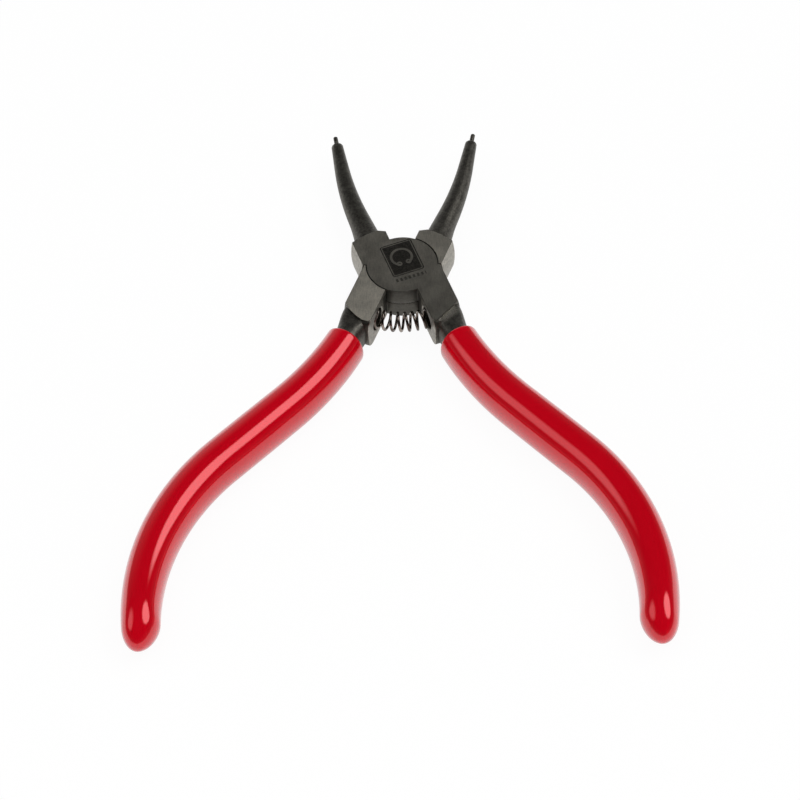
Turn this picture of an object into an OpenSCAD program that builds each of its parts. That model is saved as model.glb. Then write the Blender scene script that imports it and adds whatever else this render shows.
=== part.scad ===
// Retaining ring pliers for rings in a bore, straight tips, drawn standing open.
// X runs across the handles, Y towards the tips, Z up along the pivot axis.
// The origin is the middle of the joint's back face. Millimetres.
// Each lever is drawn with its block edges along Y, then turned by the open angle.

/* [Joint] */
// Thickness of the joint from its back face to its front face
joint_thickness = 7.5; // [6.5:0.1:9.5]
// Radius of the two discs that lap over each other
disc_radius = 7; // [6.4:0.1:8.5]
// Turn of each lever from the position where the block edges are parallel
open_half_angle = 20.6; // [17:0.1:22]
// Height of the shoulder's top corner above the pivot
shoulder_height = 9.3; // [8.8:0.1:12]
// Distance from the pivot to the end of the ground flat, outer edge
flat_length = 12.7; // [11.5:0.1:15]
// Depth of the step from the ground flat down to the forged neck
flat_step = 0.6; // [0.3:0.05:0.9]

/* [Rivet] */
// Diameter of the rivet's shank
rivet_diameter = 4; // [3:0.1:5]
// Diameter of the countersunk head at the ground face
rivet_head_diameter = 5.8; // [5.3:0.1:6.6]
// Depth of the countersunk head
rivet_head_depth = 0.9; // [0.6:0.1:1.4]

/* [Jaws] */
// Distance from the pivot to the end of the tip pin, levers parallel
tip_reach = 39.8; // [36:0.1:48]
// Diameter of the jaw where it leaves the joint
jaw_root_diameter = 5.3; // [4.4:0.1:5.6]
// Diameter of the jaw behind its rounded nose
jaw_nose_diameter = 2.3; // [1.9:0.1:2.8]
// Inward bend of the jaw
jaw_bend = 10.8; // [8:0.1:12]
// Diameter of the tip pin that enters the ring's eye
pin_diameter = 0.9; // [0.7:0.05:1.2]
// Length of the tip pin outside the nose
pin_length = 1.9; // [1.2:0.05:2.4]

/* [Handles] */
// Length of the grip along its middle line
grip_length = 82; // [70:0.5:95]
// Width of the grip at its lip, seen from the front
grip_width = 8; // [7.4:0.1:8.6]
// Width of the grip at its end
grip_end_width = 7; // [6.6:0.1:8.4]
// Extra width of the grip at its middle
grip_swell = 1.2; // [0:0.05:1.6]
// Thickness of the grip
grip_thickness = 9.8; // [9:0.1:10.5]
// Thickness of the dipped coat over the tang
coat = 1.2; // [0.9:0.05:1.4]
// Radius of the outward bend behind the joint
outward_radius = 63; // [55:1:75]
// Angle of the outward bend
outward_bend = 23.7; // [18:0.1:26]
// Length of the straight run between the two bends
straight_run = 16.8; // [10:0.1:20]
// Radius of the inward sweep to the end of the handle
inward_radius = 48; // [44:1:70]

/* [Spring] */
// Outer diameter of the return spring
spring_diameter = 4.1; // [3.4:0.1:4.4]
// Diameter of the spring's wire
wire_diameter = 0.55; // [0.4:0.05:0.7]
// Number of turns
spring_turns = 11; // [8:1:13]
// Depth of the seat hole in each handle
seat_depth = 2.8; // [2:0.1:3.4]
// Distance from the pivot back to the seat holes
seat_distance = 11.7; // [11:0.1:13]

/* [Clearances] */
// Gap between the lapped faces of the two levers
lap_gap = 0.06; // [0.03:0.01:0.12]
// Gap between a disc's rim and the other lever's block
rim_gap = 0.2; // [0.15:0.01:0.35]
// Radial running clearance of the rivet in the upper lever
running_clearance = 0.03; // [0.02:0.01:0.06]
// Radial clearance of parts held fast in one lever
seat_clearance = 0.01; // [0.005:0.005:0.02]
// Gap between the coat and the tang
coat_gap = 0.05; // [0.03:0.01:0.1]
// Gap at the bottom of the blind holes
bottom_gap = 0.05; // [0.02:0.01:0.1]
// Turn left free at the opening stop, for each lever
stop_slack = 0.4; // [0.3:0.05:0.8]

/* [Hidden] */
// Smoothness of round faces
$fn = 64;
// Half of the joint's thickness, where the levers lap
half = joint_thickness / 2;
// Half width of the jaw block, just outside the disc
jaw_block = disc_radius + rim_gap + 0.05;
// Half width of the handle block
handle_block = disc_radius;
// Distance of the handle's inner face from the middle plane
inner_face = 0.68;
// Distance of the shoulder's face from the middle plane
shoulder_face = 0.05;
// Width and rise of the shoulder's top edge
shoulder_edge = [1.6, 0.85];
// Drop from the shoulder's corner to the jaw block's outer corner
corner_drop = 0.3;
// Slant of the end of the ground flat across the handle
flat_slant = 2.95;
// Radius and middle of the arc that ends the flat on the back face
back_arc_radius = 9.8;
back_arc_middle = [-0.37, back_arc_radius - flat_length - 3.34];
// Length of the spring boss behind the flat's outer end
boss_length = 2.7;
// Width and length of the cut corner of the boss
boss_corner = [0.85, 0.9];
// Length of the neck behind the flat's outer end
neck_length = 5;
// Inset of the neck's outer side from the flat's edge
neck_inset = 0.03;
// Narrowing of the neck's outer side along its length
neck_taper = 0.3;
// Radius of the hollow that takes the other lever's disc
hollow = disc_radius + rim_gap;
// Angle of the two stop ledges
ledge = open_half_angle + stop_slack;
// Start of the round jaw's line, inside the block
jaw_start = [-3.05, 8];
// Straight run of the jaw before its bend
jaw_straight = 9.5;
// Length of the jaw's bend along its line
jaw_arc = 13.5;
// Lengths and turns of the jaw's line
jaw_runs = [[jaw_straight, 0], [jaw_arc, jaw_bend], [20, 0]];
// Rise of the jaw's bend along Y
jaw_arc_rise = jaw_arc * sin(jaw_bend) / (jaw_bend * PI / 180);
// Length of the jaw's line up to the end of the pin
jaw_total = jaw_straight + jaw_arc + (tip_reach - jaw_start[1] - jaw_straight - jaw_arc_rise) / cos(jaw_bend);
// Length of the jaw's line up to the nose
jaw_length = jaw_total - pin_length;
// Length of the pin's shank inside the nose
shank_length = 3;
// Diameter of the pin's neck, where its tapered shank enters the nose
neck_diameter = pin_diameter * 0.86;
// Diameter of the shank at its inner end
shank_end_diameter = pin_diameter * 0.68;
// Growth of the shank's diameter along its length
shank_taper = (neck_diameter - shank_end_diameter) / shank_length;
// Length of the neck between the nose and the pin
pin_neck = 0.35;
// Chamfer at the pin's end
pin_chamfer = 0.12;
// Rounded length of the nose
nose_round = 1.3;
// How far the nose closes at its end, 1 is a point
nose_closing = 0.74;
// Length of the flared root of the jaw
flare_length = 8;
// Flare of the jaw's outer side at the root
flare = 0.9;
// Start of the handle's line, in the middle of the handle block
handle_start = [(handle_block + inner_face) / 2 + 0.08, -13];
// Lengths and turns of the handle's line
handle_runs = [
    [outward_radius * outward_bend * PI / 180, outward_bend],
    [straight_run, 0],
    [100, -100 / inward_radius * 180 / PI]
];
// Start of the tang's sweep along the handle's line, inside the neck
tang_start = 2;
// Start of the grip along the handle's line
grip_start = 6.7;
// Length of the grip's thinned lip
lip_length = 3;
// End of the grip along the handle's line
grip_end = grip_start + grip_length;
// Length of the coat past the tang's end
tail_length = 4;
// End of the tang along the handle's line
tang_end = grip_end - tail_length;
// Length over which the grip's end is rounded
end_round = 4.8;
// How far a rounded end closes, 1 is a point
end_closing = 0.94;
// Distance of the last plain section from a rounded end
end_margin = 2;
// Loss of half thickness from the grip's lip to its end
end_thinning = 0.3;
// Slant of the grip's end, which leads on its outer side
end_slant = 0.3;
// Length over which the slant grows
slant_run = 14;
// Squareness of the grip's section, 2 is an ellipse
grip_squareness = 2.15;
// Room round the spring in its seat holes
spring_room = 0.3;
// Radius of the seat holes
seat_radius = spring_diameter / 2 + spring_room;
// Half of the chord between the seat holes, levers open
half_chord = inner_face * cos(open_half_angle) + seat_distance * sin(open_half_angle);
// Length of the spring's bowed part
bow = half_chord / sin(open_half_angle) * 2 * open_half_angle * PI / 180;
// Straight length of the spring inside each seat
seated = seat_depth - bottom_gap;
// Lengths and turns of the spring's line
spring_runs = [[seated, 0], [bow, 2 * open_half_angle], [10, 0]];
// Length of the spring's line
spring_line = bow + 2 * seated;
// Radius of the spring's middle line
coil_radius = (spring_diameter - wire_diameter) / 2;
// Pitch of the closed end turns
end_pitch = wire_diameter * 1.12;

// Sub-parts, each drawn alone when chosen

// Point and heading at a distance along a line made of arcs; way is the sign of its run along Y.
function walk(runs, s, x, y, heading, way, i = 0) =
    let (
        inside = i == len(runs) - 1 || s <= runs[i][0],
        d = inside ? s : runs[i][0],
        turn = runs[i][1] * d / runs[i][0],
        chord = turn == 0 ? d : d * sin(turn / 2) / (turn * PI / 360),
        nx = x + chord * sin(heading + turn / 2),
        ny = y + way * chord * cos(heading + turn / 2)
    )
    inside ? [nx, ny, heading + turn] : walk(runs, s - d, nx, ny, heading + turn, way, i + 1);

function handle_at(s) = walk(handle_runs, s, handle_start[0], handle_start[1], 0, -1);
function jaw_at(s) = walk(jaw_runs, s, jaw_start[0], jaw_start[1], 0, 1);
function power(v, n) = sign(v) * pow(abs(v), 2 / n);

// Ring of points across a line, with half width a, half height b and squareness n; a slant leads on one side.
function ring(at, way, a, b, n, shift, count, slant = 0) = [
    for (k = [0:count - 1])
        let (
            t = -way * 360 * (k + 0.5) / count,
            u = shift + a * power(cos(t), n)
        )
        [at[0] + u * (cos(at[2]) + slant * sin(at[2])),
            at[1] + way * u * (slant * cos(at[2]) - sin(at[2])),
            half + b * power(sin(t), n)]
];

// Half width and half height of the grip at a distance along the handle's line.
function grip_share(s) = (s - grip_start) / grip_length;
function grip_half_width(s) =
    (grip_width + (grip_end_width - grip_width) * grip_share(s) + grip_swell * sin(180 * grip_share(s))) / 2;
function grip_half_height(s) = grip_thickness / 2 - end_thinning * pow(grip_share(s), 2);
function rounding(s, end, length) =
    s < end - length ? 1 : sqrt(1 - end_closing * pow((s - end + length) / length, 2));
function slant_at(s) = end_slant * pow(max(0, (s - grip_end + slant_run) / slant_run), 2);
function handle_ring(s, inset, end, length, count) = ring(handle_at(s), -1,
    (grip_half_width(s) - inset) * rounding(s, end, length),
    (grip_half_height(s) - inset) * rounding(s, end, length), grip_squareness, 0, count, slant_at(s));
function spaced(a, b, n) = [for (i = [0:n]) a + (b - a) * i / n];
function rounded_run(end, length) = [for (i = [0:5]) end - length * (1 - sin(90 * i / 5))];

function jaw_radius(s) =
    (jaw_root_diameter + (jaw_nose_diameter - jaw_root_diameter) * s / jaw_length) / 2;
function jaw_flare(s) = s < flare_length ? flare * pow(1 - s / flare_length, 1.5) : 0;
function nose(s) =
    s < jaw_length - nose_round ? 1 : sqrt(1 - nose_closing * pow((s - jaw_length + nose_round) / nose_round, 2));

// Closed skin through rings of equal count, with flat ends.
module skin(rings) {
    n = len(rings[0]);
    m = len(rings);
    points = [for (r = rings) each r];
    sides = [
        for (i = [0:m - 2], j = [0:n - 1])
            let (a = i * n + j, b = i * n + (j + 1) % n)
            each [[a, b + n, b], [a, a + n, b + n]]
    ];
    first = [for (j = [0:n - 1]) j];
    last = [for (j = [n - 1:-1:0]) (m - 1) * n + j];
    polyhedron(points = points, faces = concat([first], sides, [last]));
}

// Round tapering jaw, flared on its outer side where it leaves the block.
module jaw() {
    stations = concat(
        spaced(0, flare_length, 4),
        spaced(jaw_straight, jaw_straight + jaw_arc, 6),
        [jaw_length - nose_round],
        [for (i = [1:4]) jaw_length - nose_round * (1 - sin(90 * i / 4))]
    );
    skin([
        for (s = stations)
            ring(jaw_at(s), 1, (jaw_radius(s) + jaw_flare(s) / 2) * nose(s),
                (jaw_radius(s) + jaw_flare(s) / 2) * nose(s), 2, -jaw_flare(s) / 2, 20)
    ]);
}

// Forged tang inside the grip.
module tang() {
    stations = concat(
        spaced(tang_start, handle_runs[0][0], 6),
        [handle_runs[0][0] + straight_run],
        [for (i = [1:8]) handle_runs[0][0] + straight_run
            + (tang_end - end_round - handle_runs[0][0] - straight_run) * i / 9],
        rounded_run(tang_end, end_round)
    );
    skin([for (s = stations) handle_ring(s, coat + coat_gap, tang_end, end_round, 20)]);
}

// Dipped sleeve over the tang, thin at its lip and closed at its far end.
module grip() {
    bend_end = handle_runs[0][0];
    sweep_start = bend_end + straight_run;
    // Share of the lip's length and of the coat's thickness taken off there
    lip = [[0, 0.6], [0.1, 0.35], [0.3, 0.12], [0.6, 0.03]];
    outside = concat(
        spaced(grip_start + lip_length, bend_end, 5),
        spaced(sweep_start, grip_end - end_round - end_margin, 9),
        rounded_run(grip_end, end_round)
    );
    inside = concat(
        [grip_start],
        spaced(grip_start + lip_length, bend_end, 5),
        spaced(sweep_start, tang_end - end_round - end_margin, 8),
        rounded_run(tang_end + coat_gap, end_round)
    );
    skin(concat(
        [for (i = [len(inside) - 1:-1:0])
            handle_ring(inside[i], coat, tang_end + coat_gap, end_round, 24)],
        [for (l = lip) handle_ring(grip_start + lip_length * l[0], coat * l[1], grip_end, end_round, 24)],
        [for (s = outside) handle_ring(s, 0, grip_end, end_round, 24)]
    ));
}

// Ground jaw block: shoulder, slanted end where the round jaw leaves, outer flat and stop ledge.
module jaw_block_outline() {
    polygon([
        [-shoulder_face, 0],
        [-shoulder_face, shoulder_height],
        [-shoulder_edge[0], shoulder_height + shoulder_edge[1]],
        [-jaw_block, shoulder_height - corner_drop],
        [-jaw_block, jaw_block * tan(ledge)]
    ]);
}

// Ground handle block at the front face: inner face, slanted end of the flat, outer side and stop ledge.
module handle_block_outline() {
    polygon([
        [inner_face, 0],
        [handle_block, -handle_block * tan(ledge)],
        [handle_block, -flat_length],
        [inner_face, -flat_length - flat_slant]
    ]);
}

// Ground handle block at the back face, where an arc ends the flat.
module back_block_outline() {
    boss_end = -flat_length - boss_length;
    intersection() {
        polygon([
            [inner_face, 0],
            [handle_block, -handle_block * tan(ledge)],
            [handle_block, boss_end - boss_corner[1]],
            [inner_face + boss_corner[0], boss_end - boss_corner[1]],
            [inner_face, boss_end]
        ]);
        translate(back_arc_middle)
            circle(r = back_arc_radius);
    }
}

// Forged neck between the flat and the tang, with the end of the spring boss.
module neck_outline() {
    neck_end = -flat_length - neck_length;
    boss_end = -flat_length - boss_length;
    side = handle_block - neck_inset;
    polygon([
        [inner_face, -disc_radius - 2],
        [side, -disc_radius - 2],
        [side, -flat_length],
        [side - neck_taper, neck_end],
        [side - neck_taper - boss_corner[0], neck_end - boss_corner[1]],
        [inner_face + 2 * boss_corner[0], neck_end - boss_corner[1]],
        [inner_face + boss_corner[0], boss_end - boss_corner[1]],
        [inner_face, boss_end]
    ]);
}

// Hole for the rivet with a countersink at the outer face.
module rivet_hole(clearance) {
    translate([0, 0, half - 1])
        cylinder(r = rivet_diameter / 2 + clearance, h = half + 2);
    translate([0, 0, joint_thickness - rivet_head_depth - clearance])
        cylinder(r1 = rivet_diameter / 2 + clearance,
            r2 = rivet_head_diameter / 2 + clearance, h = rivet_head_depth + clearance);
}

// Ground joint block: half disc, jaw block, handle block and neck, hollowed for the other disc.
module joint_block(clearance) {
    difference() {
        union() {
            translate([0, 0, half + lap_gap / 2])
                cylinder(r = disc_radius, h = half - lap_gap / 2);
            difference() {
                union() {
                    linear_extrude(height = joint_thickness)
                        jaw_block_outline();
                    translate([0, 0, half])
                        linear_extrude(height = half)
                            handle_block_outline();
                    linear_extrude(height = half)
                        back_block_outline();
                    translate([0, 0, flat_step])
                        linear_extrude(height = joint_thickness - 2 * flat_step)
                            neck_outline();
                }
                translate([0, 0, -1])
                    cylinder(r = hollow, h = half + lap_gap / 2 + 1);
            }
        }
        rivet_hole(clearance);
        translate([inner_face - 1, -seat_distance, half])
            rotate([0, 90, 0])
                cylinder(r = seat_radius, h = seat_depth + 1);
    }
}

// One lever: joint block, bored jaw and tang, with its block edges along Y.
module lever(clearance) {
    union() {
        joint_block(clearance);
        difference() {
            jaw();
            place_on_nose()
                shank(-shank_length - bottom_gap, 1, seat_clearance);
        }
        tang();
    }
}

// Puts a part standing on Z onto the nose, pointing along the jaw.
module place_on_nose() {
    at = jaw_at(jaw_length);
    translate([at[0], at[1], half])
        rotate([-90, 0, -at[2]])
            children();
}

// Turns a part of the upper lever to the open position.
module as_upper() {
    rotate([0, 0, open_half_angle])
        children();
}

// Turns the same part over for the lower lever.
module as_lower() {
    rotate([0, 0, -open_half_angle])
        translate([0, 0, joint_thickness])
            rotate([0, 180, 0])
                children();
}

// Tapered shank between two heights above the nose, with a radial clearance.
module shank(bottom, top, clearance) {
    translate([0, 0, bottom])
        cylinder(d1 = neck_diameter + shank_taper * bottom + 2 * clearance,
            d2 = neck_diameter + shank_taper * top + 2 * clearance, h = top - bottom);
}

// Hardened pin with a neck at its root and a tapered shank pressed into the nose.
module tip_pin() {
    place_on_nose() {
        shank(-shank_length, 0, 0);
        cylinder(d1 = neck_diameter, d2 = pin_diameter, h = pin_neck);
        translate([0, 0, pin_neck])
            cylinder(d = pin_diameter, h = pin_length - pin_neck - pin_chamfer);
        translate([0, 0, pin_length - pin_chamfer])
            cylinder(d1 = pin_diameter, d2 = pin_diameter - 2 * pin_chamfer, h = pin_chamfer);
    }
}

module upper_lever() {
    color([0.29, 0.28, 0.26])
        as_upper()
            lever(running_clearance);
}

module lower_lever() {
    color([0.33, 0.32, 0.3])
        as_lower()
            lever(seat_clearance);
}

module pivot_rivet() {
    color([0.4, 0.39, 0.37]) {
        cylinder(d = rivet_diameter, h = joint_thickness);
        cylinder(d1 = rivet_head_diameter, d2 = rivet_diameter, h = rivet_head_depth);
        translate([0, 0, joint_thickness - rivet_head_depth])
            cylinder(d1 = rivet_diameter, d2 = rivet_head_diameter, h = rivet_head_depth);
    }
}

// Distance along the spring's line after a number of turns, with one closed turn at each end.
function advance(turns) =
    let (room = spring_line - wire_diameter, pitch = (room - 2 * end_pitch) / (spring_turns - 2))
    wire_diameter / 2 + (turns < 1 ? turns * end_pitch
        : turns < spring_turns - 1 ? end_pitch + (turns - 1) * pitch
        : room - (spring_turns - turns) * end_pitch);

module return_spring() {
    start = [
        -half_chord - seated * cos(open_half_angle),
        inner_face * sin(open_half_angle) - seat_distance * cos(open_half_angle)
            + seated * sin(open_half_angle)
    ];
    steps = spring_turns * 14;
    color([0.24, 0.22, 0.21])
        skin([
            for (i = [0:steps])
                let (
                    at = walk(spring_runs, advance(i * spring_turns / steps), start[0], start[1],
                        90 - open_half_angle, -1),
                    turn = 360 * i * spring_turns / steps
                )
                [for (k = [0:7])
                    let (
                        r = coil_radius + wire_diameter / 2 * cos(45 * k),
                        along = wire_diameter / 2 * sin(45 * k),
                        side = r * cos(turn)
                    )
                    [at[0] + side * cos(at[2]) + along * sin(at[2]),
                        at[1] + side * sin(at[2]) - along * cos(at[2]),
                        half + r * sin(turn)]]
        ]);
}

module right_grip() {
    color([0.7, 0.03, 0.08])
        as_upper()
            grip();
}

module left_grip() {
    color([0.7, 0.03, 0.08])
        as_lower()
            grip();
}

module left_tip_pin() {
    color([0.3, 0.3, 0.3])
        as_upper()
            tip_pin();
}

module right_tip_pin() {
    color([0.3, 0.3, 0.3])
        as_lower()
            tip_pin();
}

upper_lever();
lower_lever();
pivot_rivet();
return_spring();
right_grip();
left_grip();
left_tip_pin();
right_tip_pin();
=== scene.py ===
"""Retaining ring pliers: forged levers, dipped grips, coil spring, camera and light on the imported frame."""
import math

import bmesh
import bpy
from mathutils import Matrix, Vector


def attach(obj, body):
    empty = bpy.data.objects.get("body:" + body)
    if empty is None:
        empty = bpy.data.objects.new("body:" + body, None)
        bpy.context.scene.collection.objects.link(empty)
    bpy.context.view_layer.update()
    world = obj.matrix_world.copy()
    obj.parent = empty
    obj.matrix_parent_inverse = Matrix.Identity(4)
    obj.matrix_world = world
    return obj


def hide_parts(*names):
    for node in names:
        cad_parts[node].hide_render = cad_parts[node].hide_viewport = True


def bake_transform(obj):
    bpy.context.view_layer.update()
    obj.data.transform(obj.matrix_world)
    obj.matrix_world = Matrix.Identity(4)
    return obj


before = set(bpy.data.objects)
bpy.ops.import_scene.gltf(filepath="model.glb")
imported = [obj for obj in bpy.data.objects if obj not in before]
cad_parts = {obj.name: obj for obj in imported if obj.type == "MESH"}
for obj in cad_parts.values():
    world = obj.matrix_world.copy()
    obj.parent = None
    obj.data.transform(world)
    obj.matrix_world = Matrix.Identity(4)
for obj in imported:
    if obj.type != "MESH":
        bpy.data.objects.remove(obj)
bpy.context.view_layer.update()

# Shapes are drawn in millimetres with the levers parallel, then turned open and scaled.
MM = 0.001

# Joint
THICKNESS = 7.5
HALF = THICKNESS / 2
OPEN = math.radians(20.6)
LEDGE_SLACK = math.radians(0.4)
LEDGE = OPEN + LEDGE_SLACK
DISC_RADIUS = 7.0
HOLLOW_RADIUS = 7.14
LAP_GAP = 0.06
JAW_BLOCK = 7.25
HANDLE_BLOCK = 7.0
INNER_FACE = 0.68
SHOULDER_FACE = 0.05
SHOULDER_HEIGHT = 9.3
SHOULDER_EDGE = (1.6, 0.82)
JAW_BLOCK_CORNER = 9.0
JAW_END_SAG = 0.28
FLAT_LENGTH = 12.7
FLAT_SLANT = 3.5
BACK_ARC_RADIUS = 9.8
BACK_ARC_MIDDLE = (-0.37, -6.24)
CORNER_START = -14.85
FLAT_CORNER = 0.85
BOSS_PROUD = 0.02
BOSS_FACE = INNER_FACE - BOSS_PROUD
BOSS_THICKNESS = 1.7
BOSS_STEP = 0.1
BOSS_HEIGHT = THICKNESS - 2 * BOSS_STEP
BOSS_START = -8.6
BOSS_TURN = -14.2
BOSS_END = -16.6
BOSS_SQUARENESS = 4.0
BOSS_ROUND = 0.22
NECK_START = -3.5
NECK_STEP = 0.4
NECK_INSET = 0.1
NECK_BLEND = 0.6
NECK_SQUARENESS = 4.0
BACK_SLAB = 1.0
DRAFT_BULGE = 0.38
WALL_LEVELS = 4
EDGE_ROUND = 0.09
EDGE_ANGLE = math.radians(40)
SEAT_DISTANCE = 11.7
SEAT_RADIUS = 2.35
SEAT_DEPTH = 2.8
SEAT_CHAMFER = 0.2
SEAT_SIDES = 48
RIVET_RADIUS = 2.0
RIVET_HEAD_RADIUS = 2.9
RIVET_HEAD_DEPTH = 0.9
RIVET_FIT = 0.005
RIVET_COVER = 0.08
RIVET_SIDES = 64
OVERCUT = 1.0

# Points along the edges of the joint
CROWN_STEPS = 10
FLAT_END_STEPS = 36
FRONT_ARC_STEPS = 44
BACK_ARC_STEPS = 46
JAW_HOLLOW_STEPS = 28
HANDLE_HOLLOW_STEPS = 26
BOSS_STEPS = 32

# How far a face has to look along an axis to count as a flat, a side or the face of the boss
FLAT_FACING = 0.95
SIDE_FACING = 0.8
BOSS_FACING = 0.5
SIDE_DEPTH = 0.1

# Jaws and tip pins
JAW_START = (-3.05, 8.0)
JAW_STRAIGHT = 9.5
JAW_ARC = 13.5
JAW_BEND = 10.8
JAW_TAIL = 20.0
JAW_RUNS = ((JAW_STRAIGHT, 0.0), (JAW_ARC, JAW_BEND), (JAW_TAIL, 0.0))
JAW_LENGTH = 30.14
JAW_ROOT_RADIUS = 2.65
JAW_NOSE_RADIUS = 1.15
JAW_FLARE = 0.9
FLARE_LENGTH = 8.0
FLARE_POWER = 1.5
NOSE_ROUND = 0.75
NOSE_CLOSING = 0.52
NOSE_POWER = 1.5
JAW_STEPS = 36
NOSE_STEPS = 7
JAW_SIDES = 48
PIN_LENGTH = 1.9
PIN_RADIUS = 0.45
PIN_NECK_RADIUS = 0.36
PIN_NECK = 0.35
PIN_SHOULDER = (0.02, 0.06)
PIN_CHAMFER = 0.12
PIN_CROWN = (0.03, 0.05)
SHANK_LENGTH = 3.0
SHANK_END_RADIUS = 0.3
PIN_SIDES = 40

# Handles and grips
HANDLE_START = (3.92, -13.0)
OUTWARD_RADIUS = 63.0
OUTWARD_BEND = 23.7
STRAIGHT_RUN = 16.8
INWARD_RADIUS = 48.0
INWARD_RUN = 100.0
HANDLE_RUNS = (
    (OUTWARD_RADIUS * math.radians(OUTWARD_BEND), OUTWARD_BEND),
    (STRAIGHT_RUN, 0.0),
    (INWARD_RUN, -math.degrees(INWARD_RUN / INWARD_RADIUS)),
)
GRIP_START = 6.7
GRIP_LENGTH = 82.0
GRIP_END = GRIP_START + GRIP_LENGTH
GRIP_WIDTH = 8.0
GRIP_END_WIDTH = 7.0
GRIP_SWELL = 1.2
GRIP_THICKNESS = 9.8
END_THINNING = 0.3
GRIP_SQUARENESS = 2.15
END_ROUND = 4.8
END_SLOPE = 8.0
END_FLAT = 0.002
END_SLANT = 0.3
SLANT_RUN = 14.0
COAT = 1.2
COAT_GAP = 0.05
COAT_TAIL = 4.0
LIP_ROUND = 0.42
LIP_STEPS = 8
LIP_INSIDE = 0.4
LIP_OUTSIDE = 0.8
TANG_INSIDE = 1.5
TANG_START = GRIP_START + TANG_INSIDE
TANG_END = GRIP_END - COAT_TAIL
NECK_STEPS = 24
TANG_STEPS = 40
TANG_END_STEPS = 6
HANDLE_SIDES = 64
GRIP_STEPS = 90
GRIP_END_STEPS = 14
GRIP_SIDES = 72

# Spring
COIL_RADIUS = 1.775
WIRE_RADIUS = 0.275
SPRING_TURNS = 11
SPRING_PHASE = 0.25
SEATED = 2.75
END_PITCH = 0.616
SPRING_TAIL = 10.0
WIRE_SIDES = 12
STEPS_PER_TURN = 28

# Distances below which points count as one, or as lying on a plane
MERGE = 1e-3
TOUCH = 1e-4

# Turn between two faces above which a finished piece shows an edge
SMOOTH_ANGLE = math.radians(35)


def walk(runs, distance, start, heading, way):
    """Point and heading at a distance along straight runs and arcs. The way is 1 up Y and -1 down Y."""
    x, y = start
    for length, turn in runs:
        step = min(distance, length)
        bend = math.radians(turn) * step / length
        chord = step if bend == 0 else step * math.sin(bend / 2) / (bend / 2)
        x += chord * math.sin(heading + bend / 2)
        y += way * chord * math.cos(heading + bend / 2)
        heading += bend
        distance -= step
        if distance <= 0:
            break
    return x, y, heading


def spaced(first, last, count):
    return [first + (last - first) * i / count for i in range(count + 1)]


def eased(first, last, count):
    """Stations that crowd towards the last one, for a rounded end."""
    return [first + (last - first) * math.sin(math.pi / 2 * i / count) for i in range(count + 1)]


def stations(first, bend, last, count, end_count):
    """Even stations up to where an end starts to round off, and crowding ones from there."""
    return spaced(first, bend, count) + eased(bend, last, end_count)[1:]


def superpower(value, squareness):
    return math.copysign(abs(value) ** (2 / squareness), value)


def section(at, way, half_width, half_height, squareness=2.0, shift=0.0, slant=0.0, inner_width=None):
    """Section across a line, which takes points of the unit circle. A slant leads on the outer side."""
    x, y, heading = at

    def place(across, up):
        width = inner_width if inner_width and across < 0 else half_width
        u = shift + width * superpower(across, squareness)
        v = half_height * superpower(up, squareness)
        return Vector((x + u * (math.cos(heading) + slant * math.sin(heading)),
                       y + way * u * (slant * math.cos(heading) - math.sin(heading)), HALF + v))

    return place


def loft(sections, segments):
    """Closed skin through a row of sections."""
    bm = bmesh.new()
    rows = []
    for place in sections:
        ring = bmesh.ops.create_circle(bm, segments=segments, radius=1.0, cap_ends=False)["verts"]
        for vert in ring:
            vert.co = place(vert.co.x, vert.co.y)
        rows.append(list({edge for vert in ring for edge in vert.link_edges}))
    for near, far in zip(rows, rows[1:]):
        bmesh.ops.bridge_loops(bm, edges=near + far)
    for row in (rows[0], rows[-1]):
        bmesh.ops.edgeloop_fill(bm, edges=row)
    bmesh.ops.recalc_face_normals(bm, faces=bm.faces)
    return bm


def lathe(profile, steps):
    """Closed turned shape on Z from a profile of radius and height that starts and ends on the axis."""
    bm = bmesh.new()
    verts = [bm.verts.new((radius, 0, height)) for radius, height in profile]
    edges = [bm.edges.new(pair) for pair in zip(verts, verts[1:])]
    bmesh.ops.spin(bm, geom=verts + edges, axis=(0, 0, 1), cent=(0, 0, 0), angle=2 * math.pi,
                   steps=steps, use_merge=True)
    bmesh.ops.remove_doubles(bm, verts=bm.verts, dist=MERGE)
    bmesh.ops.recalc_face_normals(bm, faces=bm.faces)
    return bm


def verts_of(geometry):
    return [item for item in geometry if isinstance(item, bmesh.types.BMVert)]


def as_mesh(bm):
    mesh = bpy.data.meshes.new("shape")
    bm.to_mesh(mesh)
    bm.free()
    return mesh


def solid(bm, finish):
    """Temporary object that holds a shape for joining and cutting."""
    mesh = as_mesh(bm)
    mesh.materials.append(finish)
    shape = bpy.data.objects.new("shape", mesh)
    bpy.context.scene.collection.objects.link(shape)
    return shape


def combine(target, tool, operation):
    """Joins or cuts the target with the tool and uses the tool up."""
    boolean = target.modifiers.new("combine", "BOOLEAN")
    boolean.operation = operation
    boolean.object = tool
    boolean.solver = "EXACT"
    boolean.material_mode = "TRANSFER"
    evaluated = target.evaluated_get(bpy.context.evaluated_depsgraph_get())
    mesh = bpy.data.meshes.new_from_object(evaluated)
    target.modifiers.clear()
    target.data = mesh
    bpy.data.objects.remove(tool)


def round_edges(shape, width, angle):
    """Rounds every edge that turns by more than the angle."""
    bm = bmesh.new()
    bm.from_mesh(shape.data)
    bmesh.ops.remove_doubles(bm, verts=bm.verts, dist=MERGE)
    bmesh.ops.dissolve_degenerate(bm, dist=MERGE, edges=bm.edges)
    sharp = [edge for edge in bm.edges if edge.is_manifold and edge.calc_face_angle() > angle]
    bmesh.ops.bevel(bm, geom=sharp, offset=width, offset_type="OFFSET", segments=2, profile=0.5,
                    affect="EDGES", clamp_overlap=True, material=-1)
    bm.to_mesh(shape.data)
    bm.free()


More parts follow.
